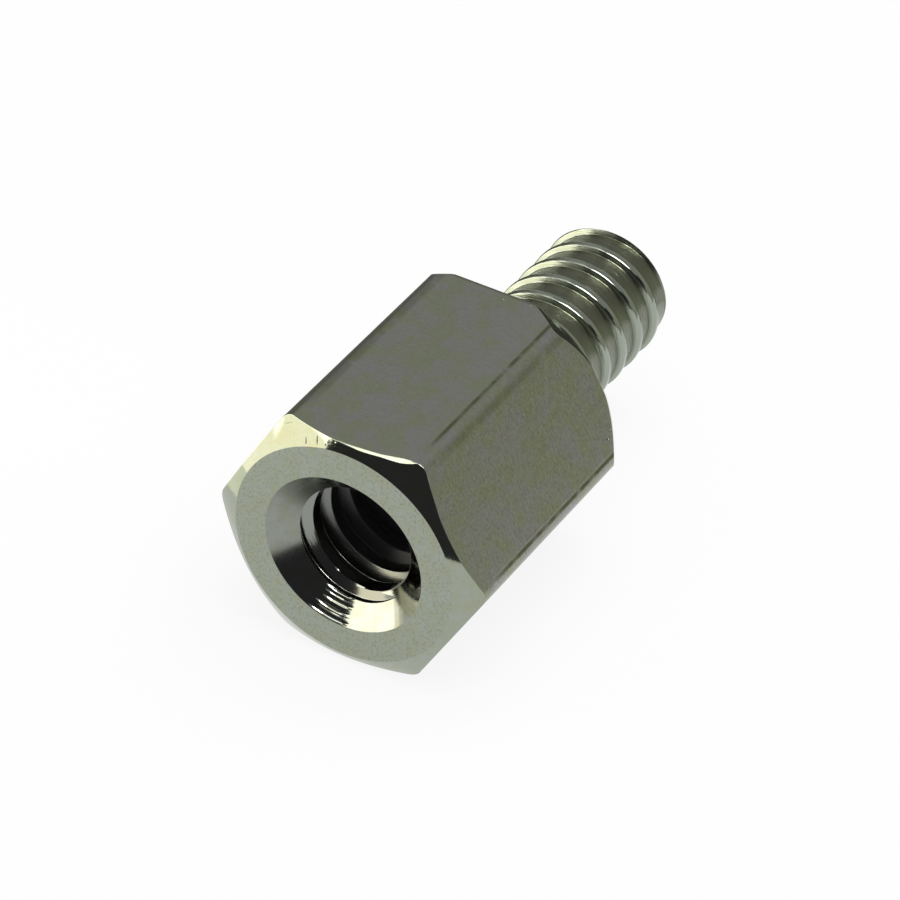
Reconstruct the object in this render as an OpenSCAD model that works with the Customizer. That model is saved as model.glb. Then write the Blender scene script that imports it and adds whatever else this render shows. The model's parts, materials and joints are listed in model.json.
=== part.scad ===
// D-sub screw lock: a hexagonal jack socket turned from one piece of bar.
// The thread axis is X. The shoulder's centre is the origin, the stud points to +X
// and the tapped mouth faces -X. Two flats of the hexagon face +Z and -Z.

/* [Hexagonal body] */
// Width across the flats
across_flats = 5; // [4.5:0.1:8]
// Length from the mouth face to the shoulder face
body_len = 5.7; // [4:0.1:12]
// Radius along the six long edges of the bar
edge_r = 0.3; // [0.1:0.05:0.4]

/* [Turned ends] */
// How far inside the flats the turned ring around the mouth stops
mouth_inset = 0.17; // [0.05:0.01:0.35]
// Chamfer angle at the mouth, from the face
mouth_chamfer_angle = 33; // [15:1:50]
// How far the chamfer at the shoulder cuts into each corner's radius
shoulder_corner_cut = 0.2; // [0.1:0.01:0.5]
// Chamfer angle at the shoulder, from the face
shoulder_chamfer_angle = 60; // [15:1:65]

/* [Tapped hole] */
// Diameter of the hole through the crests of its thread
hole_d = 2.26; // [1.6:0.02:2.8]
// How much wider than the hole the countersink is at the mouth face
countersink_extra = 1.1; // [0.2:0.05:1.4]
// Full angle of the countersink
countersink_angle = 90; // [60:1:120]
// Full angle of the drilled bottom
drill_angle = 118; // [90:1:140]
// Metal left between the tip of the drilled bottom and the shoulder face
bottom_wall = 0.6; // [0.3:0.1:1.5]

/* [Stud] */
// Diameter over the crests of the stud's thread
stud_d = 2.8; // [2:0.05:3.6]
// Length from the shoulder face to the tip
stud_len = 4.3; // [2:0.1:9]
// How far the tip's chamfer runs along the stud
tip_len = 0.25; // [0.1:0.05:0.6]
// How far the tip's chamfer cuts into the stud's radius
tip_depth = 0.12; // [0.05:0.01:0.4]

/* [Hidden] */
$fn = 96;
bite = 0.2;                                   // how far a cutter starts outside the face it cuts
corner_r = across_flats / sqrt(3);            // centre to a sharp corner of the hexagon
turned_r = corner_r + bite;                   // wider than the bar everywhere
lap = 0.001;                                  // lets the edges' arcs cross the flats, not just touch

// Section of the drawn bar: a hexagon whose corners keep only what is inside
// three crossed slabs and a circle in each corner, which gives the rounded edges.
module bar_section() {
    centre_r = 2 * (across_flats / 2 - edge_r) / sqrt(3);
    intersection() {
        rotate(30) circle(r = corner_r, $fn = 6);
        union() {
            for (turn = [0:60:120])
                rotate(turn) square([turned_r * 2, centre_r], center = true);
            for (turn = [30:60:330])
                rotate(turn) translate([centre_r, 0]) circle(r = edge_r + lap);
        }
    }
}

// Bar from x = 0 back to the mouth face, with flats facing +Z and -Z
module bar() {
    rotate([0, -90, 0]) linear_extrude(height = body_len) bar_section();
}

// Solid of revolution that the lathe leaves: it cuts both ends' corners to a cone
module turned_envelope() {
    mouth_r = across_flats / 2 - mouth_inset;
    mouth_run = (turned_r - mouth_r) * tan(mouth_chamfer_angle);
    shoulder_r = corner_r - shoulder_corner_cut;
    shoulder_run = (turned_r - shoulder_r) * tan(shoulder_chamfer_angle);
    rotate([0, 90, 0]) rotate_extrude()
        polygon([
            [0, -body_len],
            [mouth_r, -body_len],
            [turned_r, mouth_run - body_len],
            [turned_r, -shoulder_run],
            [shoulder_r, 0],
            [0, 0]
        ]);
}

// Countersink, tapping hole and drilled bottom, as one cutter
module hole_cutter() {
    hole_r = hole_d / 2;
    countersink_run = countersink_extra / 2 / tan(countersink_angle / 2);
    drill_run = hole_r / tan(drill_angle / 2);
    rotate([0, 90, 0]) rotate_extrude()
        polygon([
            [0, -body_len - bite],
            [hole_r + countersink_extra / 2 + bite * tan(countersink_angle / 2), -body_len - bite],
            [hole_r, countersink_run - body_len],
            [hole_r, -bottom_wall - drill_run],
            [0, -bottom_wall]
        ]);
}

// Stud at the diameter of its thread's crests, rooted inside the body
module stud() {
    stud_r = stud_d / 2;
    rotate([0, 90, 0]) rotate_extrude()
        polygon([
            [0, -bite],
            [stud_r, -bite],
            [stud_r, stud_len - tip_len],
            [stud_r - tip_depth, stud_len],
            [0, stud_len]
        ]);
}

module screw_lock() {
    color([0.72, 0.71, 0.64]) difference() {
        union() {
            intersection() {
                bar();
                turned_envelope();
            }
            stud();
        }
        hole_cutter();
    }
}

screw_lock();
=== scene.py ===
import json
import math
import bmesh
import bpy
from mathutils import Matrix, Vector


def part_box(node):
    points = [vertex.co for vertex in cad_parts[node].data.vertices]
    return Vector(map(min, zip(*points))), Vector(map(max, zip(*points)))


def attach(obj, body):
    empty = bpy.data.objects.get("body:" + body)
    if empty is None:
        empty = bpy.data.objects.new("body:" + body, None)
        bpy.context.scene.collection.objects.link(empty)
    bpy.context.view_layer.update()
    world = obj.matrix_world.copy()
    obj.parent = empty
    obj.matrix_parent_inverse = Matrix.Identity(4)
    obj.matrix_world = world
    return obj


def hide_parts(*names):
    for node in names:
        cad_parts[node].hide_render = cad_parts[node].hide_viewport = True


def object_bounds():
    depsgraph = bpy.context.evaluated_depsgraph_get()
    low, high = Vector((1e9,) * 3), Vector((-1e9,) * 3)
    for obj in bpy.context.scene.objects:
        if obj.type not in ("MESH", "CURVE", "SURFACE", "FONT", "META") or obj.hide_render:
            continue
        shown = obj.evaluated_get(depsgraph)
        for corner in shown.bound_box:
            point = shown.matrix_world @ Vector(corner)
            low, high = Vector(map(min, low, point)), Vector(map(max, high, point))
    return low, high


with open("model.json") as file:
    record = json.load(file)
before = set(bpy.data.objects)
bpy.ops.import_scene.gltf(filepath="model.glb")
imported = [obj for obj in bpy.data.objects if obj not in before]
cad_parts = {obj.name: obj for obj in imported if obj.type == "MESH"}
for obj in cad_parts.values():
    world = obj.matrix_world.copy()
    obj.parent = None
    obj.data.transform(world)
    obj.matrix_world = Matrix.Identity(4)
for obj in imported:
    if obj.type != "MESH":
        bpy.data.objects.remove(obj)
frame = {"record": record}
cadLow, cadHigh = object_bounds()

# The part is worked out in millimetres, and its finished mesh is scaled to metres.
# Angles round the thread axis start at +Y, where a corner of the hexagon is, and turn to +Z.
mm = 0.001
same = 1e-4  # vertices nearer than this are one
side = math.pi / 3  # angle that one flat takes up

barLow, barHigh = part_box("screw_lock")
mounts = {mount["name"]: mount for mount in frame["record"]["mounts"]}
stud, hole = mounts["stud"], mounts["tapped_hole"]
holeStart = hole["pos_m"][0] / mm

lock = {
    "halfFlats": (barHigh.z - barLow.z) / 2 / mm,
    "cornerReach": (barHigh.y - barLow.y) / 2 / mm,  # thread axis to a rounded corner
    "edgeRound": 0.025,  # what tumbling and plating leave of a turned edge
    "mouth": barLow.x / mm,
    "mouthRing": 2.33,  # radius where the mouth's chamfer starts
    "mouthChamfer": math.radians(33),  # from the face
    "lipRound": 0.008,
    "countersink": math.radians(45),  # from the thread axis
    "holeStart": holeStart,
    "holeEnd": holeStart + hole["dims"]["length_mm"],
    "holeRadius": hole["dims"]["r_mm"],
    "tapStock": 0.01,  # the tap cuts all of this away
    "drillPoint": math.radians(59),
    "drillRound": 0.05,
    "shoulderRing": 2.725,
    "shoulderOffset": (0.21, -0.1),  # the shoulder's chamfer was turned off centre
    "shoulderChamfer": math.radians(60),
    "leastCut": 0.02,  # this much comes off at the shoulder everywhere
    "studStraight": stud["dims"]["length_mm"],
    "crestRadius": stud["dims"]["r_mm"] - 0.035,  # the thread came out a little under size
    "dieStock": 0.002,  # what the die takes off the crests
    "tip": barHigh.x / mm,
    "tipRadius": 1.25,
    "tipGrowth": 0.07,  # plating, and the burr that the cut-off leaves
    "countersinkRings": 60,
    "barLengths": 12,  # short ones, so that a nick bends the shading only around itself
    "columnsPerSide": 36,
    "columnsPerCorner": 10,
    "sharpAngle": math.radians(14),
}

finishes = [
    "drawnFlat",
    "turnedFace",
    "turnedCone",
    "countersink",
    "studThread",
    "tappedThread",
    "drilledBore",
]


def radiusOf(point):
    return math.hypot(point.y, point.z)


def roundCorner(blank, corner, radius):
    first, second = (edge.other_vert(corner).co - corner.co for edge in corner.link_edges)
    turn = math.pi - first.angle(second)
    degreesPerSegment = 8
    bmesh.ops.bevel(
        blank,
        geom=[corner],
        offset=radius * math.tan(turn / 2),
        offset_type="OFFSET",
        affect="VERTICES",
        segments=max(2, round(math.degrees(turn) / degreesPerSegment)),
        profile=0.5,
        material=-1,
    )


# A half section in the XY plane, from the x, radius and rounding of each corner
def drawOutline(outline, closed=False):
    blank = bmesh.new()
    corners = [blank.verts.new((x, radius, 0)) for x, radius, rounding in outline]
    for first, second in zip(corners, corners[1:] + corners[:closed]):
        blank.edges.new((first, second))
    for corner, (x, radius, rounding) in zip(corners, outline):
        if rounding:
            roundCorner(blank, corner, rounding)
    return blank


# Spins the half section round the X axis, with an advance along it for a screw
def turnOnLathe(blank, steps, advance=0):
    bmesh.ops.spin(
        blank,
        geom=blank.verts[:] + blank.edges[:],
        cent=(0, 0, 0),
        axis=(1, 0, 0),
        dvec=(advance / steps, 0, 0),
        angle=math.tau,
        steps=steps,
        use_merge=advance == 0,
        use_duplicate=False,
    )
    bmesh.ops.remove_doubles(blank, verts=blank.verts, dist=same)
    openEdges = [edge for edge in blank.edges if edge.is_boundary]
    if openEdges:
        bmesh.ops.holes_fill(blank, edges=openEdges, sides=0)
    bmesh.ops.recalc_face_normals(blank, faces=blank.faces)


# Gives every face the finish that zoneOf names from its x, radius and normal
def setZone(blank, zoneOf):
    for face in blank.faces:
        centre = face.calc_center_median()
        face.material_index = finishes.index(zoneOf(centre.x, radiusOf(centre), face.normal))


def makeObject(name, blank, materials):
    mesh = bpy.data.meshes.new(name)
    blank.to_mesh(mesh)
    blank.free()
    piece = bpy.data.objects.new(name, mesh)
    bpy.context.scene.collection.objects.link(piece)
    for material in materials:
        mesh.materials.append(material)
    return piece


def cutWith(tool, piece):
    modifier = piece.modifiers.new("cut", "BOOLEAN")
    modifier.operation = "DIFFERENCE"
    modifier.solver = "MANIFOLD"
    modifier.object = tool
    depsgraph = bpy.context.evaluated_depsgraph_get()
    mesh = bpy.data.meshes.new_from_object(piece.evaluated_get(depsgraph))
    piece.modifiers.clear()
    piece.data = mesh
    bpy.data.objects.remove(tool)


# Radius of the bar's long edges
def barRound():
    cornerCos = math.cos(side / 2)
    return (lock["cornerReach"] - lock["halfFlats"] / cornerCos) / (1 - 1 / cornerCos)


# How far from a corner the rounded edge of the bar ends
def roundedAngle():
    halfFlat = (lock["halfFlats"] - barRound()) * math.tan(side / 2)
    return side / 2 - math.atan(halfFlat / lock["halfFlats"])


# Thread axis to the bar's surface
def barReach(angle):
    fromCorner = abs((angle + side / 2) % side - side / 2)
    if fromCorner >= roundedAngle():
        return lock["halfFlats"] / math.cos(side / 2 - fromCorner)
    rounding = barRound()
    centre = lock["cornerReach"] - rounding
    across = centre * math.sin(fromCorner)
    return centre * math.cos(fromCorner) + math.sqrt(rounding ** 2 - across ** 2)


# Angle of a column of faces from the corner before it: they are closest on the corners
def columnFromCorner(column):
    inCorner = lock["columnsPerCorner"] / 2
    onFlat = lock["columnsPerSide"] - lock["columnsPerCorner"]
    if column <= inCorner:
        return roundedAngle() * column / inCorner
    if column >= inCorner + onFlat:
        return side - roundedAngle() * (lock["columnsPerSide"] - column) / inCorner
    return roundedAngle() + (side - 2 * roundedAngle()) * (column - inCorner) / onFlat


# How far in from the bar's surface the shoulder's chamfer reaches
def shoulderCut(angle):
    offY, offZ = lock["shoulderOffset"]
    along = offY * math.cos(angle) + offZ * math.sin(angle)
    across = offY * math.sin(angle) - offZ * math.cos(angle)
    ring = along + math.sqrt(lock["shoulderRing"] ** 2 - across ** 2)
    return max(barReach(angle) - ring, lock["leastCut"])


# Bruised stretch of the mouth's outer edge: at each degree, how many times its usual rounding
# it is, and how flat it was knocked
bruise = {
    "size": [(72, 1), (80, 1.2), (88, 1.8), (98, 2.5), (105, 2.3), (109, 3.6), (113, 4.6), (116, 3.6),
             (118.5, 0.4), (124, 0.4), (128, 1)],
    "flat": [(78, 0), (88, 0.6), (98, 0.9), (108, 1), (116, 1), (118, 0)],
}


# The value at a place, on straight lines between the table's pairs
def fromTable(table, place):
    if place <= table[0][0]:
        return table[0][1]
    for (first, low), (second, high) in zip(table, table[1:]):
        if place <= second:
            return low + (high - low) * (place - first) / (second - first)
    return table[-1][1]


# Swells the rounding of the mouth's edge and flattens it, as a knock does
def bruised(offset, angle):
    degrees = math.degrees(angle) % 360
    slope = lock["mouthChamfer"]
    turn = math.pi / 2 - slope
    reach = lock["edgeRound"] * math.tan(turn / 2)
    onCone = Vector((-math.sin(slope), -math.cos(slope))) * reach
    onFlat = Vector((1, 0)) * reach
    chord = (onFlat - onCone).normalized()
    middle = (onFlat + onCone) / 2
    level = middle + chord * (offset - middle).dot(chord)
    offset = offset.lerp(level, fromTable(bruise["flat"], degrees))
    return offset * fromTable(bruise["size"], degrees)


# Brings the turned blank down to the hexagon: the chamfers stay cones
def millFlats(blank):
    soft = 2 * lock["edgeRound"]  # past the last vertex of a rounded edge
    mouthSlope = math.tan(lock["mouthChamfer"])
    shoulderSlope = math.tan(lock["shoulderChamfer"])
    reach, ring = lock["cornerReach"], lock["shoulderRing"]
    mouthCorner = Vector((lock["mouth"] + (reach - lock["mouthRing"]) * mouthSlope, reach))
    shoulderCorner = Vector(((ring - reach) * shoulderSlope, reach))
    for vert in blank.verts:
        radius = radiusOf(vert.co)
        if radius < lock["mouthRing"] + soft:
            continue
        column = round(math.atan2(vert.co.z, vert.co.y) / side * lock["columnsPerSide"])
        corner, column = divmod(column, lock["columnsPerSide"])
        angle = corner * side + columnFromCorner(column)
        surface = barReach(angle)
        mouthEdge = Vector((lock["mouth"] + (surface - lock["mouthRing"]) * mouthSlope, surface))
        shoulderEdge = Vector((-shoulderCut(angle) * shoulderSlope, surface))
        place = Vector((vert.co.x, radius))
        if (place - mouthCorner).length < soft:
            place = mouthEdge + bruised(place - mouthCorner, angle)
        elif (place - shoulderCorner).length < soft:
            place = shoulderEdge + place - shoulderCorner
        elif radius > reach - 10 * same:
            along = (place.x - mouthCorner.x) / (shoulderCorner.x - mouthCorner.x)
            place = mouthEdge.lerp(shoulderEdge, along)
        else:
            place.y += surface - shoulderCut(angle) - ring
        vert.co = (place.x, place.y * math.cos(angle), place.y * math.sin(angle))
    bmesh.ops.remove_doubles(blank, verts=blank.verts, dist=same)


# Grooves left in the countersink by the tool: share of the way from the hole to the face,
# degrees from and to, half width in shares, and depth
chatter = [
    (0.93, -97, -62, 0.05, 0.012),
    (0.8, -95, -66, 0.035, 0.006),
    (0.72, -93, -63, 0.05, 0.012),
    (0.53, -96, -66, 0.06, 0.014),
    (0.4, -90, -64, 0.04, 0.008),
    (0.27, -95, -62, 0.07, 0.016),
    (0.6, 34, 76, 0.04, 0.002),
]
chatterFade = 8  # degrees over which a groove ends


def chatterDepth(share, degrees):
    depth = 0
    for middle, first, last, width, deepest in chatter:
        across = abs(share - middle) / width
        along = min(degrees - first, last - degrees) / chatterFade
        if across < 1 and along > 0:
            depth += deepest * (1 + math.cos(math.pi * across)) / 2 * min(along, 1)
    return depth


def addChatter(blank, lip):
    inward = Vector((math.sin(lock["countersink"]), math.cos(lock["countersink"])))
    edge = lock["mouth"] + lock["lipRound"] / 2
    for vert in blank.verts:
        radius = radiusOf(vert.co)
        share = (radius - lock["holeRadius"]) / (lip - lock["holeRadius"])
        if edge <= vert.co.x <= lock["holeStart"] and 0 < share < 1:
            angle = math.atan2(vert.co.z, vert.co.y)
            depth = chatterDepth(share, math.degrees(angle))
            x = vert.co.x + inward.x * depth
            radius += inward.y * depth
            vert.co = (x, radius * math.cos(angle), radius * math.sin(angle))


def makeBody(materials):
    soft = lock["edgeRound"]
    mouth, reach = lock["mouth"], lock["cornerReach"]
    countersinkRun = lock["holeStart"] - mouth
    lip = lock["holeRadius"] + countersinkRun * math.tan(lock["countersink"])
    drilled = lock["holeRadius"] - lock["tapStock"]
    drillRun = drilled / math.tan(lock["drillPoint"])
    mouthRun = (reach - lock["mouthRing"]) * math.tan(lock["mouthChamfer"])
    shoulderRun = (reach - lock["shoulderRing"]) * math.tan(lock["shoulderChamfer"])
    studBlank = lock["crestRadius"] + lock["dieStock"]
    tip = lock["tip"] + lock["tipGrowth"]
    tipChamfer = lock["studStraight"] + 2 * lock["tipGrowth"]
    tipRound = 3 * soft
    outline = [
        (lock["holeEnd"] + drillRun, 0, 0),
        (lock["holeEnd"], drilled, lock["drillRound"]),
        (lock["holeStart"] + lock["tapStock"] / math.tan(lock["countersink"]), drilled, 0),
    ]
    for ring in range(1, lock["countersinkRings"]):
        share = ring / lock["countersinkRings"]
        radius = lock["holeRadius"] + share * (lip - lock["holeRadius"])
        outline.append((lock["holeStart"] - share * countersinkRun, radius, 0))
    outline += [
        (mouth, lip, lock["lipRound"]),
        (mouth, lock["mouthRing"], soft),
        (mouth + mouthRun, reach, soft),
    ]
    for length in range(1, lock["barLengths"]):
        ease = (1 - math.cos(math.pi * length / lock["barLengths"])) / 2
        outline.append((mouth + mouthRun + ease * (-shoulderRun - mouth - mouthRun), reach, 0))
    outline += [
        (-shoulderRun, reach, soft),
        (0, lock["shoulderRing"], soft),
        (0, studBlank, 0),
        (tipChamfer, studBlank, tipRound),
        (tip, lock["tipRadius"], tipRound),
        (tip, 0, 0),
    ]
    blank = drawOutline(outline)
    turnOnLathe(blank, 6 * lock["columnsPerSide"])

    def zoneOf(x, radius, normal):
        if radius < lip and mouth + same < x < -same:
            return "countersink" if x < lock["holeStart"] else "drilledBore"
        squareToAxis = abs(normal.x) > 0.97
        alongAxis = abs(normal.x) < 0.1
        if squareToAxis:
            return "turnedFace"
        return "drawnFlat" if alongAxis and radius > lock["mouthRing"] else "turnedCone"

    setZone(blank, zoneOf)
    millFlats(blank)
    addChatter(blank, lip)
    return makeObject("screwLock", blank, materials)


thread = {
    "pitch": 0.635,
    "flank": math.radians(30),
    "steps": 120,  # round one turn
    "flankSteps": 6,
    "screwedBack": math.radians(37.3),  # the tools' ends then lie between the columns of the body
}

# Each thread tool is a helical ring of teeth, with its radii in millimetres and its fades in turns.
# The teeth stand on the plain radius, outwards in the hole and inwards on the stud.
die = {
    "start": 0.325,  # first crest on the +Y side
    "end": lock["tip"] + 0.7,
    "back": lock["crestRadius"] + 0.335,
    "plain": lock["crestRadius"],
    "tooth": -0.105,
    "toothFlat": 0.39,
    "plainRound": 0.08,
    "toothRound": 0.02,
    "fadeFrom": 0,
    "fadeIn": 1.2,
    "fadeOut": 0.01,
    "zone": "studThread",
}

tap = {
    "start": 0.31 - 11 * thread["pitch"],  # outside the mouth
    "end": lock["holeEnd"] - 1,
    "back": lock["holeRadius"] - 0.23,
    "plain": lock["holeRadius"],
    "tooth": 0.24,
    "toothFlat": 0.1,
    "plainRound": 0.03,
    "toothRound": 0.03,
    "fadeFrom": 1.36,  # the countersink leaves a shallow first turn
    "fadeIn": 0.65,
    "fadeOut": 1.6,
    "zone": "tappedThread",
}


# Half section of a tool: its teeth, and its back from the last turn to the first
def toolOutline(tool, turns):
    pitch, start = thread["pitch"], tool["start"]
    plain, tooth, flat = tool["plain"], tool["tooth"], tool["toothFlat"]
    run = abs(tooth) * math.tan(thread["flank"])
    shares = [step / thread["flankSteps"] for step in range(1, thread["flankSteps"])]
    flank = [(flat / 2 + run * (1 - share), plain + tooth * share) for share in shares]
    outline = []
    for turn in range(turns):
        middle = start + (turn + 0.5) * pitch
        outline.append((middle - pitch / 2, plain, 0))
        outline.append((middle - flat / 2 - run, plain, tool["plainRound"]))
        outline += [(middle - along, radius, 0) for along, radius in flank]
        outline.append((middle - flat / 2, plain + tooth, tool["toothRound"]))
        outline.append((middle + flat / 2, plain + tooth, tool["toothRound"]))
        outline += [(middle + along, radius, 0) for along, radius in reversed(flank)]
        outline.append((middle + flat / 2 + run, plain, tool["plainRound"]))
    outline.append((start + turns * pitch, plain, 0))
    return outline + [(start + turn * pitch, tool["back"], 0) for turn in range(turns, -1, -1)]


# The teeth rise and end gently, and one that cuts less deep keeps its flanks
def fadeTeeth(blank, tool, turns):
    steps, plain = thread["steps"], tool["plain"]
    for vert in blank.verts:
        radius = radiusOf(vert.co)
        if abs(radius - tool["back"]) < same:
            continue
        around = round(math.atan2(vert.co.z, vert.co.y) / math.tau * steps) % steps / steps
        along = math.floor((vert.co.x - tool["start"]) / thread["pitch"] - around + same) + around
        fadeIn = (along - tool["fadeFrom"]) / tool["fadeIn"]
        fade = max(0, min(1, fadeIn, (turns - along) / tool["fadeOut"]))
        depth = max(0, abs(radius - plain) - (1 - fade) * abs(tool["tooth"]))
        scale = (plain + math.copysign(depth, tool["tooth"])) / radius
        vert.co.y *= scale
        vert.co.z *= scale


def makeThreadTool(tool, materials):
    pitch, turn = thread["pitch"], thread["screwedBack"]
    turns = math.ceil((tool["end"] - tool["start"]) / pitch)
    blank = drawOutline(toolOutline(tool, turns), closed=True)
    turnOnLathe(blank, thread["steps"], advance=pitch)
    fadeTeeth(blank, tool, turns)
    bmesh.ops.rotate(blank, verts=blank.verts, matrix=Matrix.Rotation(-turn, 3, "X"))
    bmesh.ops.translate(blank, verts=blank.verts, vec=(-pitch * turn / math.tau, 0, 0))
    setZone(blank, lambda x, radius, normal: tool["zone"])
    return makeObject("threadTool", blank, materials)


# Nicks: radius on the chamfer or x on a flat, degrees, half sizes, and degrees turned on the surface
chamferNicks = [
    (2.415, 69.2, (0.085, 0.013, 0.016), 0),
    (2.445, 75, (0.09, 0.014, 0.018), 6),
    (2.445, 80.6, (0.04, 0.016, 0.02), -35),
    (2.392, 79.6, (0.03, 0.014, 0.018), 50),
    (2.475, 84, (0.022, 0.02, 0.018), 0),
    (2.705, 60.3, (0.09, 0.01, 0.01), 88),
]
flatNicks = [
    (-0.35, 168.4, (0.05, 0.035, 0.02), 20),
    (-0.5, 170.6, (0.06, 0.03, 0.025), -30),
    (-0.23, 92.8, (0.025, 0.02, 0.01), 0),
    (-0.12, 104.5, (0.035, 0.025, 0.012), 0),
]


# Direction away from the thread axis
def outwards(angle):
    return Vector((0, math.cos(angle), math.sin(angle)))


# A small ellipsoid that scoops one nick out
def addScoop(blank, place, long, normal, half, degrees):
    axes = Matrix((long, normal.cross(long), normal)).transposed().to_4x4()
    matrix = Matrix.Translation(place) @ axes @ Matrix.Rotation(math.radians(degrees), 4, "Z")
    matrix = matrix @ Matrix.Diagonal((*half, 1))
    bmesh.ops.create_icosphere(blank, subdivisions=2, radius=1, matrix=matrix)


def makeNicks(materials):
    blank = bmesh.new()
    slope = lock["mouthChamfer"]
    for radius, degrees, half, turned in chamferNicks:
        out = outwards(math.radians(degrees))
        x = lock["mouth"] + (radius - lock["mouthRing"]) * math.tan(slope)
        long = Vector((math.sin(slope), 0, 0)) + out * math.cos(slope)
        normal = Vector((-math.cos(slope), 0, 0)) + out * math.sin(slope)
        addScoop(blank, Vector((x, 0, 0)) + out * radius, long, normal, half, turned)
    for x, degrees, half, turned in flatNicks:
        angle = math.radians(degrees)
        place = Vector((x, 0, 0)) + outwards(angle) * barReach(angle)
        normal = outwards((angle // side + 0.5) * side)
        addScoop(blank, place, Vector((1, 0, 0)), normal, half, turned)
    setZone(blank, lambda x, radius, normal: "drawnFlat" if x > lock["mouth"] / 2 else "turnedCone")
    return makeObject("nicks", blank, materials)


def finishPiece(piece):
    mesh = piece.data
    mesh.transform(Matrix.Scale(mm, 4))
    mesh.polygons.foreach_set("use_smooth", [True] * len(mesh.polygons))
    mesh.set_sharp_from_angle(angle=lock["sharpAngle"])
    weighted = piece.modifiers.new("weighted", "WEIGHTED_NORMAL")
    weighted.keep_sharp = True
    weighted.weight = 90


# A socket that plain arithmetic works on
class Wire:
    def __init__(self, tree, socket=None):
        self.tree = tree
        self.socket = socket

    def node(self, kind, settings=None, values=None, output=0):
        node = self.tree.nodes.new(kind)
        for name, value in (settings or {}).items():
            setattr(node, name, value)
        for name, value in (values or {}).items():
            if isinstance(value, Wire):
                self.tree.links.new(value.socket, node.inputs[name])
            else:
                node.inputs[name].default_value = value
        return Wire(self.tree, node.outputs[output]) if node.outputs else None

    def maths(self, operation, first, second=0.0):
        return self.node("ShaderNodeMath", {"operation": operation}, {0: first, 1: second})

    # 0 below low and 1 above high, with soft ends
    def step(self, low, high):
        return self.node(
            "ShaderNodeMapRange",
            {"interpolation_type": "SMOOTHSTEP"},
            {"Value": self, "From Min": low, "From Max": high},
        )

    def __add__(self, other):
        return self.maths("ADD", self, other)

    def __sub__(self, other):
        return self.maths("SUBTRACT", self, other)

    def __rsub__(self, other):
        return self.maths("SUBTRACT", other, self)

    def __mul__(self, other):
        return self.maths("MULTIPLY", self, other)

    def __abs__(self):
        return self.maths("ABSOLUTE", self)

    __radd__ = __add__
    __rmul__ = __mul__


tones = {
    "base": (0.32, 0.353, 0.298),
    "warm": (0.315, 0.337, 0.255),
    "grey": (0.307, 0.305, 0.296),
    "olive": (0.287, 0.31, 0.223),
    "scratch": (0.4, 0.41, 0.34),
    # dirt in the specks and streaks; the same tone paints shade along the shoulder's rim and, in part,
    # in the stud's thread roots
    "grime": (0.1, 0.1, 0.06),
    # painted shade: the dark line by the rounded edges of the flats
    "line": (0.12, 0.125, 0.065),
    "cut": (0.278, 0.297, 0.272),
    "rubbed": (0.262, 0.272, 0.222),
    "tapped": (0.245, 0.26, 0.235),
    "unplated": (0.25, 0.25, 0.255),
}

roughness = {
    "drawnFlat": 0.36,
    "turnedFace": 0.26,
    "turnedCone": 0.08,
    "countersink": 0.1,
    "studThread": 0.19,
    "burnishedCrest": 0.08,
    "tappedThread": 0.13,
    "drilledBore": 0.6,
}


# Object coordinates in millimetres, the distance from the thread axis and the angle round it
def partSpace(tree):
    space = Wire(tree).node("ShaderNodeTexCoord", output="Object")
    space = space.node("ShaderNodeVectorMath", {"operation": "SCALE"}, {0: space, "Scale": 1 / mm})
    across = space.node("ShaderNodeVectorMath", {"operation": "MULTIPLY"}, {0: space, 1: (0, 1, 1)})
    radius = across.node("ShaderNodeVectorMath", {"operation": "LENGTH"}, {0: across}, output="Value")
    x, y, z = (space.node("ShaderNodeSeparateXYZ", {}, {0: space}, output=axis) for axis in range(3))
    return {"space": space, "x": x, "radius": radius, "angle": x.maths("ARCTAN2", z, y)}


# Soft spots, with their number per millimetre along each axis
def noise(at, perMm, detail=3.0):
    vector = at.node("ShaderNodeVectorMath", {"operation": "MULTIPLY"}, {0: at, 1: perMm})
    values = {"Vector": vector, "Scale": 1.0, "Detail": detail, "Roughness": 0.6}
    return at.node("ShaderNodeTexNoise", {}, values)


# Noise on the surface unrolled: along the axis, and round it at a radius
def unrolledNoise(part, radius, perMm, detail=3.0):
    values = {0: part["x"], 1: abs(part["angle"]) * radius}
    return noise(part["x"].node("ShaderNodeCombineXYZ", {}, values), (*perMm, 0), detail)


def asColour(value):
    return value if isinstance(value, Wire) else (*value, 1)


# A Mix node's colours are its inputs 6 and 7
def mixColour(share, first, second):
    values = {"Factor": share, 6: asColour(first), 7: asColour(second)}
    return share.node("ShaderNodeMix", {"data_type": "RGBA"}, values, output=2)


def emptyMaterial(name):
    material = bpy.data.materials.new(name)
    material.use_nodes = True
    material.node_tree.nodes.clear()
    return material


def metal(name, build):
    material = emptyMaterial(name)
    tree = material.node_tree
    colour, rough, height, depth = build(partSpace(tree))
    bumpValues = {"Height": height, "Strength": 1.0, "Distance": depth * mm}
    surface = Wire(tree).node("ShaderNodeBsdfPrincipled", {}, {
        "Metallic": 1.0,
        "Base Color": colour,
        "Roughness": rough,
        "Normal": Wire(tree).node("ShaderNodeBump", {}, bumpValues),
    })
    Wire(tree).node("ShaderNodeOutputMaterial", {}, {"Surface": surface})
    return material


# How strongly each mark and each painted shade shows on the flats, and how deep the marks are in
# millimetres
marks = {
    "sheltered": 0.4,  # share of the marks on the flats before the corner at 120 degrees
    "grime": 0.3,
    "streaks": 0.35,
    "scratches": 0.45,
    "specks": 0.5,
    # strength of the painted shade line by the rounded edges, before and after a corner
    "lineBefore": 0.95,
    "lineAfter": 0.4,
    # painted shade along the shoulder's rim
    "rim": 0.6,
    "depth": 0.007,
}


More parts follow.
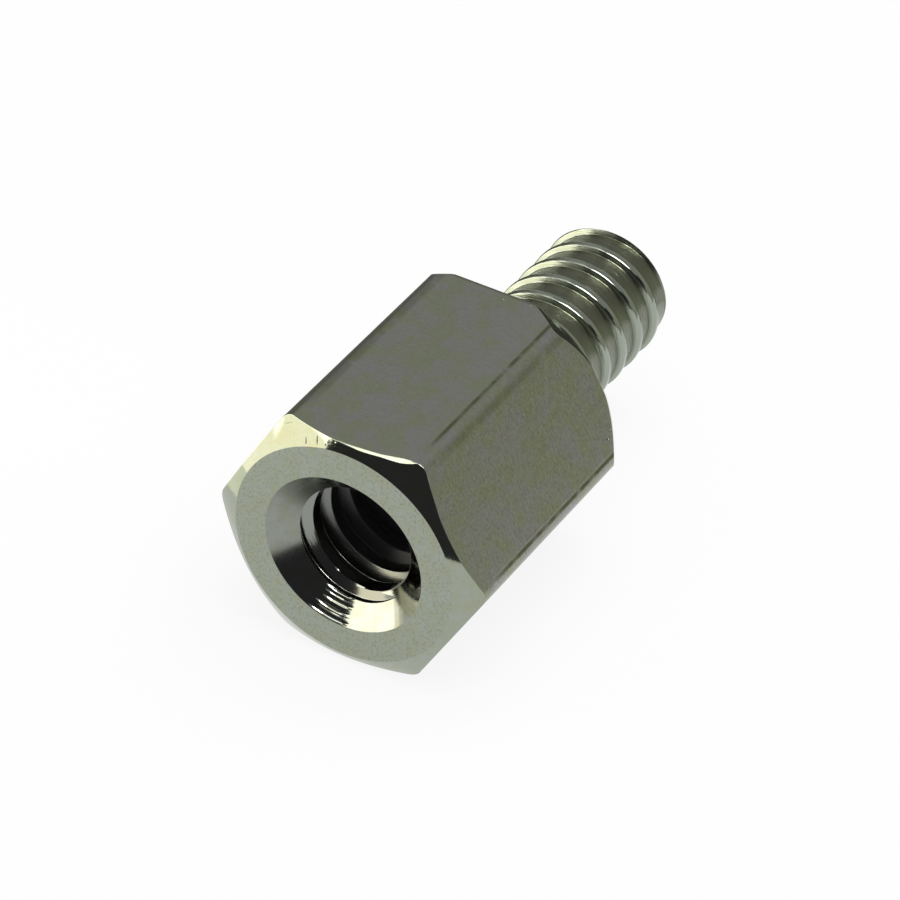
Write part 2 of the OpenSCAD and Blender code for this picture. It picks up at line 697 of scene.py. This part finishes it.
# Each finish gives its colour, roughness, bump height, and bump depth in millimetres
def drawnFlat(part):
    angle = part["angle"]
    streaks = unrolledNoise(part, 2.6, (23, 6), detail=4.0)
    grain = noise(part["space"], (19, 19, 19))
    blotches = noise(part["space"], (1.9, 1.9, 1.9))
    worn = marks["sheltered"] + (1 - marks["sheltered"]) * angle.step(2.0, 2.2)
    colour = mixColour(blotches.step(0.38, 0.62), tones["grey"], tones["olive"])
    colour = mixColour(grain.step(0.4, 0.7) * worn * marks["grime"], colour, tones["grime"])
    colour = mixColour(streaks.step(0.5, 0.75) * worn * marks["streaks"], colour, tones["grime"])
    colour = mixColour(streaks.step(0.46, 0.3) * worn * marks["scratches"], colour, tones["scratch"])
    specks = noise(part["space"], (9, 9, 9), detail=1.0).step(0.66, 0.76) * blotches.step(0.4, 0.6)
    colour = mixColour(specks * worn * marks["specks"], colour, tones["scratch"])
    # painted shade where a flat runs into the rounded edge: a dark line for the dark reflection in that
    # edge, dark before a corner, broad and faint after it
    fromCorner = angle.maths("PINGPONG", angle, side / 2)
    after = angle.maths("SINE", angle * 6).step(-0.1, 0.1)
    line = 1 - abs(fromCorner - roundedAngle() - 0.003).step(0.004, 0.02 + 0.02 * after)
    wander = noise(part["space"], (2.5, 1, 1), detail=2.0).step(0.25, 0.55)
    fromMouth = part["x"].step(lock["mouth"] + 0.5, lock["mouth"] + 1.5)
    strength = marks["lineBefore"] - after * (marks["lineBefore"] - marks["lineAfter"])
    line = line * strength * wander * fromMouth
    colour = mixColour(line, colour, tones["line"])
    # painted shade along the shoulder's rim, up to the corner at 120 degrees: a dark line for the dark
    # reflection in the rounded edge there, in the dark grime tone
    rim = part["x"].step(-0.11, -0.05) * (1 - angle.step(1.9, 2.1))
    colour = mixColour(rim * marks["rim"], colour, tones["grime"])
    tumbled = 1 - fromCorner.step(roundedAngle() - 0.01, roundedAngle())
    rough = roughness["drawnFlat"] + 0.12 * (grain - 0.5) - 0.06 * tumbled
    # the painted shade line is also pressed in as a shallow groove
    return colour, rough, streaks * 0.6 + grain * 0.5 - line, marks["depth"]


# Fine rings round the thread axis, in two tones that vary softly
def ringed(name, depth, first="base", second="warm", speckle=0.08):
    def build(part):
        values = {"W": part["radius"] * 30, "Scale": 1.0, "Detail": 3.0}
        rings = part["x"].node("ShaderNodeTexNoise", {"noise_dimensions": "1D"}, values)
        blotches = noise(part["space"], (3, 3, 3))
        colour = mixColour(blotches.step(0.35, 0.65), tones[first], tones[second])
        grain = noise(part["space"], (17, 17, 17))
        colour = mixColour(grain.step(0.45, 0.7) * speckle, colour, tones["grime"])
        return colour, roughness[name] + 0.05 * (rings - 0.5), rings, depth
    return build


# Rings where the tool cut clean, and a duller stretch on the +Y side
def countersink(part):
    colour, rough, rings, depth = ringed("countersink", 0.0005, "cut", "rubbed")(part)
    dull = 1 - abs(part["angle"] - 0.45).step(0.5, 1.2)
    return colour, rough + 0.2 * dull, rings, depth


def studThread(part):
    streaks = unrolledNoise(part, 1.4, (48, 1.5), detail=4.0)
    turn = abs(part["angle"])
    fromRoot = part["radius"] - lock["crestRadius"] - die["tooth"]
    # the roots are darkened, partly by grime in them and partly as painted shade: less on the -Y side,
    # and hardly at all on the +Y side, where the light falls on them
    farSide = turn.step(2.2, 2.8)
    litSide = 1 - abs(part["angle"] - 0.5).step(0.65, 0.85)
    grime = (1 - fromRoot.step(0.005, 0.06)) * (0.8 - 0.3 * farSide - 0.75 * litSide)
    colour = mixColour(grime, tones["base"], tones["grime"])
    colour = mixColour(streaks.step(0.5, 0.72) * 0.4, colour, tones["olive"])
    # crests are burnished past the top, and dull before it
    past = turn.step(1.62, 1.76)
    crest = part["radius"].step(lock["crestRadius"] - 0.045, lock["crestRadius"] - 0.013)
    burnished = crest * past
    smoother = roughness["studThread"] - roughness["burnishedCrest"]
    rough = roughness["studThread"] + 0.1 * (streaks - 0.5) - burnished * smoother
    rough = rough + (1 - past) * turn.step(1.32, 1.45) * 0.12
    return colour, rough, streaks * (1 - 0.8 * burnished), 0.007


# Plating hardly reaches down the blind hole
def tappedThread(part):
    streaks = unrolledNoise(part, 1.3, (48, 2))
    down = part["x"].step(lock["holeStart"] + 0.4, lock["holeStart"] + 1.3)
    colour = mixColour(down, tones["tapped"], tones["unplated"])
    rough = roughness["tappedThread"] + 0.05 * (streaks - 0.5) + 0.45 * down
    return colour, rough, streaks, 0.001


def drilledBore(part):
    streaks = noise(part["space"], (20, 4, 4))
    return asColour(tones["unplated"]), roughness["drilledBore"] + 0.05 * (streaks - 0.5), streaks, 0.002


def makeMaterials():
    builders = {
        "drawnFlat": drawnFlat,
        "turnedFace": ringed("turnedFace", 0.0015, speckle=0.3),
        "turnedCone": ringed("turnedCone", 0.0005),
        "countersink": countersink,
        "studThread": studThread,
        "tappedThread": tappedThread,
        "drilledBore": drilledBore,
    }
    return [metal(name, builders[name]) for name in finishes]


view = {
    "azimuth": math.radians(-60.69),
    "elevation": math.radians(37.94),
    "roll": math.radians(2.216),
    "distance": 0.09227,
    "lens": 192.8,
    "aim": Vector((-0.001002, 0.000467, -0.000827)),  # beside the thread axis
}

studio = {
    "floorColour": (0.93, 0.93, 0.93),
    "floorSize": 0.6,
    "whiteShare": 0.88,  # the rest of what is seen of the floor is lit, and takes the shadow
    "surround": (0.43, 0.43, 0.43),
    "sky": {"from": (-60, 78), "distance": 0.3, "size": (0.3, 0.3), "level": 2.4},
}

# What the metal reflects. Each card is a profile of distance and height, in metres, swept
# between two directions, in degrees from +X round to +Y.
wall = 0.12  # distance of the standing cards
onFloor = 0.0001  # height of the lying ones
cards = {
    "key": {
        "from": 96,
        "to": 120,
        "profile": [(wall, 0), (wall, 0.125)],
        "level": (3.9, 3.75, 3.3),
    },
    "keyTop": {
        "from": 120,
        "to": 145.5,
        "profile": [(wall, 0.044), (wall, 0.125)],
        "level": (3.9, 3.75, 3.3),
    },
    "keyBottom": {
        "from": 120,
        "to": 145.5,
        "profile": [(wall, 0), (wall, 0.044)],
        "level": (2.6, 2.38, 1.87),
    },
    "keyEdge": {
        "from": 74,
        "to": 84,
        "profile": [(0.0075, onFloor), (wall, onFloor)],
        "level": (1.5, 1.45, 1.2),
    },
    "keyFoot": {
        "from": 84,
        "to": 116,
        "profile": [(0.0075, onFloor), (wall, onFloor)],
        "level": (2.6, 2.4, 2.0),
    },
    "keyFootFar": {
        "from": 116,
        "to": 145,
        "profile": [(0.0125, onFloor), (wall, onFloor)],
        "level": (2.6, 2.4, 2.0),
    },
    "keyFootNear": {
        "from": 100,
        "to": 145,
        "profile": [(0.0085, 2 * onFloor), (0.0125, 2 * onFloor)],
        "level": (1.5, 1.5, 1.25),
    },
    "flag": {
        "from": 146,
        "to": 232,
        "profile": [(wall, 0), (wall, 0.133)],
        "level": (0.048, 0.046, 0.052),
    },
    "flagSide": {
        "from": 232,
        "to": 298,
        "profile": [(wall, 0.037), (wall, 0.09)],
        "level": (0.04, 0.04, 0.04),
    },
    "flagFoot": {
        "from": 196,
        "to": 232,
        "profile": [(0.0165, onFloor), (wall, onFloor)],
        "level": (0.048, 0.046, 0.052),
    },
    "side": {
        "from": 285,
        "to": 348,
        "profile": [(0.02, onFloor), (wall, onFloor), (wall, 0.05)],
        "level": (0.46, 0.47, 0.38),
    },
    "backFoot": {
        "from": -25,
        "to": 40,
        "profile": [(0.009, onFloor), (wall, onFloor)],
        "level": (0.06, 0.06, 0.05),
    },
    "back": {
        "from": 40,
        "to": 88,
        "profile": [(0.006, onFloor), (wall / 2, onFloor), (wall / 2, 0.042)],
        "level": (0.18, 0.18, 0.16),
    },
}
cardSteps = 24

# Small bright cards that face the part, from a direction round and above the floor, in degrees
lamps = {
    "overhead": {"from": (-116, 68), "distance": 0.15, "size": (0.08, 0.09), "level": (12, 12, 11.5)},
    "front": {"from": (136, 73), "distance": 0.15, "size": (0.06, 0.06), "level": (3.4, 3.4, 3.2)},
}


# Direction at an angle from +X round to +Y, and above the floor, in degrees
def towards(azimuth, elevation):
    turn, rise = math.radians(azimuth), math.radians(elevation)
    return Vector((math.cos(turn) * math.cos(rise), math.sin(turn) * math.cos(rise), math.sin(rise)))


def makeCamera():
    data = bpy.data.cameras.new("camera")
    data.lens = view["lens"]
    data.sensor_width = 36
    data.clip_start = view["distance"] / 10
    data.clip_end = 10
    camera = bpy.data.objects.new("camera", data)
    back = Vector((
        math.sin(view["azimuth"]) * math.cos(view["elevation"]),
        -math.cos(view["azimuth"]) * math.cos(view["elevation"]),
        math.sin(view["elevation"]),
    ))
    turn = (-back).to_track_quat("-Z", "Y").to_matrix() @ Matrix.Rotation(view["roll"], 3, "Z")
    camera.matrix_world = Matrix.Translation(view["aim"] + back * view["distance"]) @ turn.to_4x4()
    bpy.context.scene.collection.objects.link(camera)
    bpy.context.scene.camera = camera


# The floor looks white to the camera and in the metal, and is lit as pale paper otherwise
def makeFloor():
    material = emptyMaterial("paper")
    tree = material.node_tree
    values = {"Base Color": (*studio["floorColour"], 1), "Roughness": 0.9}
    paper = Wire(tree).node("ShaderNodeBsdfPrincipled", {}, values)
    white = Wire(tree).node("ShaderNodeEmission", {}, {"Color": (1, 1, 1, 1), "Strength": 1.0})
    seen = Wire(tree).node("ShaderNodeLightPath", output="Is Camera Ray")
    for ray in ("Is Glossy Ray", "Is Transmission Ray"):
        seen = seen + Wire(tree).node("ShaderNodeLightPath", output=ray)
    share = seen.maths("MINIMUM", seen, 1.0) * studio["whiteShare"]
    surface = Wire(tree).node("ShaderNodeMixShader", {}, {0: share, 1: paper, 2: white})
    Wire(tree).node("ShaderNodeOutputMaterial", {}, {"Surface": surface})
    blank = bmesh.new()
    bmesh.ops.create_grid(blank, x_segments=1, y_segments=1, size=studio["floorSize"])
    bmesh.ops.translate(blank, verts=blank.verts, vec=(0, 0, cadLow.z))
    makeObject("floor", blank, [material])


def glowing(name, level):
    material = emptyMaterial(name)
    tree = material.node_tree
    light = Wire(tree).node("ShaderNodeEmission", {}, {"Color": (*level, 1), "Strength": 1.0})
    Wire(tree).node("ShaderNodeOutputMaterial", {}, {"Surface": light})
    return material


# Only reflections see a card
def placeCard(name, blank, level):
    card = makeObject(name, blank, [glowing(name, level)])
    card.visible_camera = False
    card.visible_diffuse = False
    card.visible_shadow = False


def makeCurvedCard(name):
    card = cards[name]
    blank = bmesh.new()
    start = towards(card["from"], 0)
    corners = [
        blank.verts.new(start * distance + Vector((0, 0, cadLow.z + height)))
        for distance, height in card["profile"]
    ]
    edges = [blank.edges.new(pair) for pair in zip(corners, corners[1:])]
    bmesh.ops.spin(
        blank,
        geom=corners + edges,
        cent=(0, 0, 0),
        axis=(0, 0, 1),
        dvec=(0, 0, 0),
        angle=math.radians(card["to"] - card["from"]),
        steps=cardSteps,
        use_merge=False,
        use_duplicate=False,
    )
    placeCard(name, blank, card["level"])


def makeLamp(name):
    lamp = lamps[name]
    way = towards(*lamp["from"])
    across = Vector((0, 0, 1)).cross(way).normalized()
    axes = Matrix((across, way.cross(across), way)).transposed().to_4x4()
    matrix = Matrix.Translation(way * lamp["distance"]) @ axes
    matrix = matrix @ Matrix.Diagonal((*lamp["size"], 1, 1))
    blank = bmesh.new()
    bmesh.ops.create_grid(blank, x_segments=1, y_segments=1, size=0.5, matrix=matrix)
    placeCard(name, blank, lamp["level"])


# Lights the floor, and the object's shadow on it
def makeSky():
    sky = studio["sky"]
    data = bpy.data.lights.new("sky", "AREA")
    data.shape = "RECTANGLE"
    data.size, data.size_y = sky["size"]
    data.energy = sky["level"] * math.pi * sky["size"][0] * sky["size"][1]
    lamp = bpy.data.objects.new("sky", data)
    way = towards(*sky["from"])
    turn = way.to_track_quat("Z", "Y").to_matrix().to_4x4()
    lamp.matrix_world = Matrix.Translation(way * sky["distance"]) @ turn
    lamp.visible_glossy = False
    bpy.context.scene.collection.objects.link(lamp)


def makeWorld():
    world = bpy.data.worlds.new("surround")
    world.use_nodes = True
    world.node_tree.nodes.clear()
    values = {"Color": (*studio["surround"], 1), "Strength": 1.0}
    light = Wire(world.node_tree).node("ShaderNodeBackground", {}, values)
    Wire(world.node_tree).node("ShaderNodeOutputWorld", {}, {"Surface": light})
    bpy.context.scene.world = world
    bpy.context.scene.view_settings.view_transform = "Standard"


makeCamera()
makeWorld()
makeFloor()
makeSky()
for name in lamps:
    makeLamp(name)
for name in cards:
    makeCurvedCard(name)
print("studio is set")

materials = makeMaterials()
print("finishes are made")

screwLock = makeBody(materials)
print("body is turned and milled:", len(screwLock.data.polygons), "faces")
cutWith(makeNicks(materials), screwLock)
print("body is nicked:", len(screwLock.data.polygons), "faces")
cutWith(makeThreadTool(tap, materials), screwLock)
print("hole is tapped:", len(screwLock.data.polygons), "faces")
cutWith(makeThreadTool(die, materials), screwLock)
print("stud is threaded:", len(screwLock.data.polygons), "faces")
finishPiece(screwLock)

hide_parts("screw_lock")
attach(screwLock, "root")
